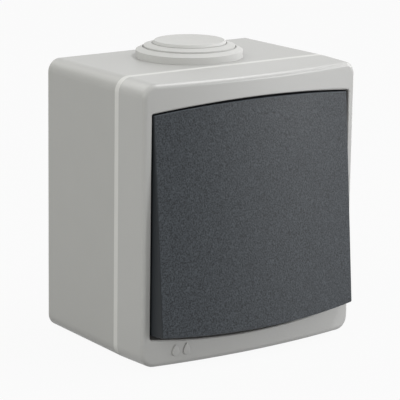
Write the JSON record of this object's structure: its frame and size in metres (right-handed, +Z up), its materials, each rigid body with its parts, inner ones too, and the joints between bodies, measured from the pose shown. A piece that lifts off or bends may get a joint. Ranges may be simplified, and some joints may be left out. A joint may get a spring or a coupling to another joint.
{
  "type": "two-way switch",
  "caption": "Surface-mounted weatherproof two-way light switch: pale grey box and cover with a dark rocker, a stepped cable grommet on top and a changeover mechanism inside.",
  "frame": {"origin": "centre of the back face, in the plane of the wall", "axes": "+X to the right seen from the front, -Y out of the wall towards the front, +Z up"},
  "size_m": [0.07, 0.0537, 0.0802],
  "materials": {
    "housing_plastic": "pale warm grey moulded plastic, fine satin",
    "pale_rubber": "paler grey soft moulded rubber",
    "rocker_plastic": "dark slate moulded plastic with a fine grain",
    "lever_plastic": "natural white slippery plastic",
    "insulator": "off-white hard insulating plastic",
    "dark_rubber": "soft black rubber",
    "steel": "bright zinc-plated steel",
    "brass": "bare pressed brass",
    "silver": "bright silver contact alloy"
  },
  "bodies": {
    "housing": {"back_box": "housing_plastic", "cable_grommet": "pale_rubber", "cover_gasket": "pale_rubber", "front_cover": "housing_plastic", "pivot_pin": "steel", "sealing_membrane": "dark_rubber", "membrane_ring": "lever_plastic", "fixed_contact_one": "brass", "fixed_contact_two": "brass", "fixed_contact_tips": "silver", "common_contact": "brass", "first_terminal": "brass", "second_terminal": "brass", "common_terminal": "brass", "terminal_screws": "steel", "mechanism_base": "insulator", "mechanism_lid": "insulator", "mechanism_screws": "steel", "cover_screws": "steel", "screw_seals": "dark_rubber"},
    "rocker": {"rocker": "rocker_plastic", "drive_lever": "lever_plastic", "plunger_spring": "steel"},
    "plunger": {"plunger": "lever_plastic"},
    "contact_lever": {"contact_lever": "brass", "moving_contact_tips": "silver"}
  },
  "joints": [
    {"name": "rocker_pivot", "type": "hinge", "parent": "housing", "child": "rocker", "pos_m": [0, -0.045, 0], "axis": [1, 0, 0], "range_deg": [0, 9.8], "deforming": ["sealing_membrane"]},
    {"name": "plunger_slide", "type": "slide", "parent": "rocker", "child": "plunger", "axis": [0, -0.9963, 0.0854], "range_m": [0, 0.0008], "stiffness_N_per_m": 600, "springref_m": -0.0015, "deforming": ["plunger_spring"]},
    {"name": "contact_lever_pivot", "type": "hinge", "parent": "housing", "child": "contact_lever", "pos_m": [0, -0.02, 0], "axis": [1, 0, 0], "range_deg": [-19.6, 0]}
  ],
  "couplings": [
    {"joint": "contact_lever_pivot", "follows": "rocker_pivot", "ratio": -2}
  ]
}
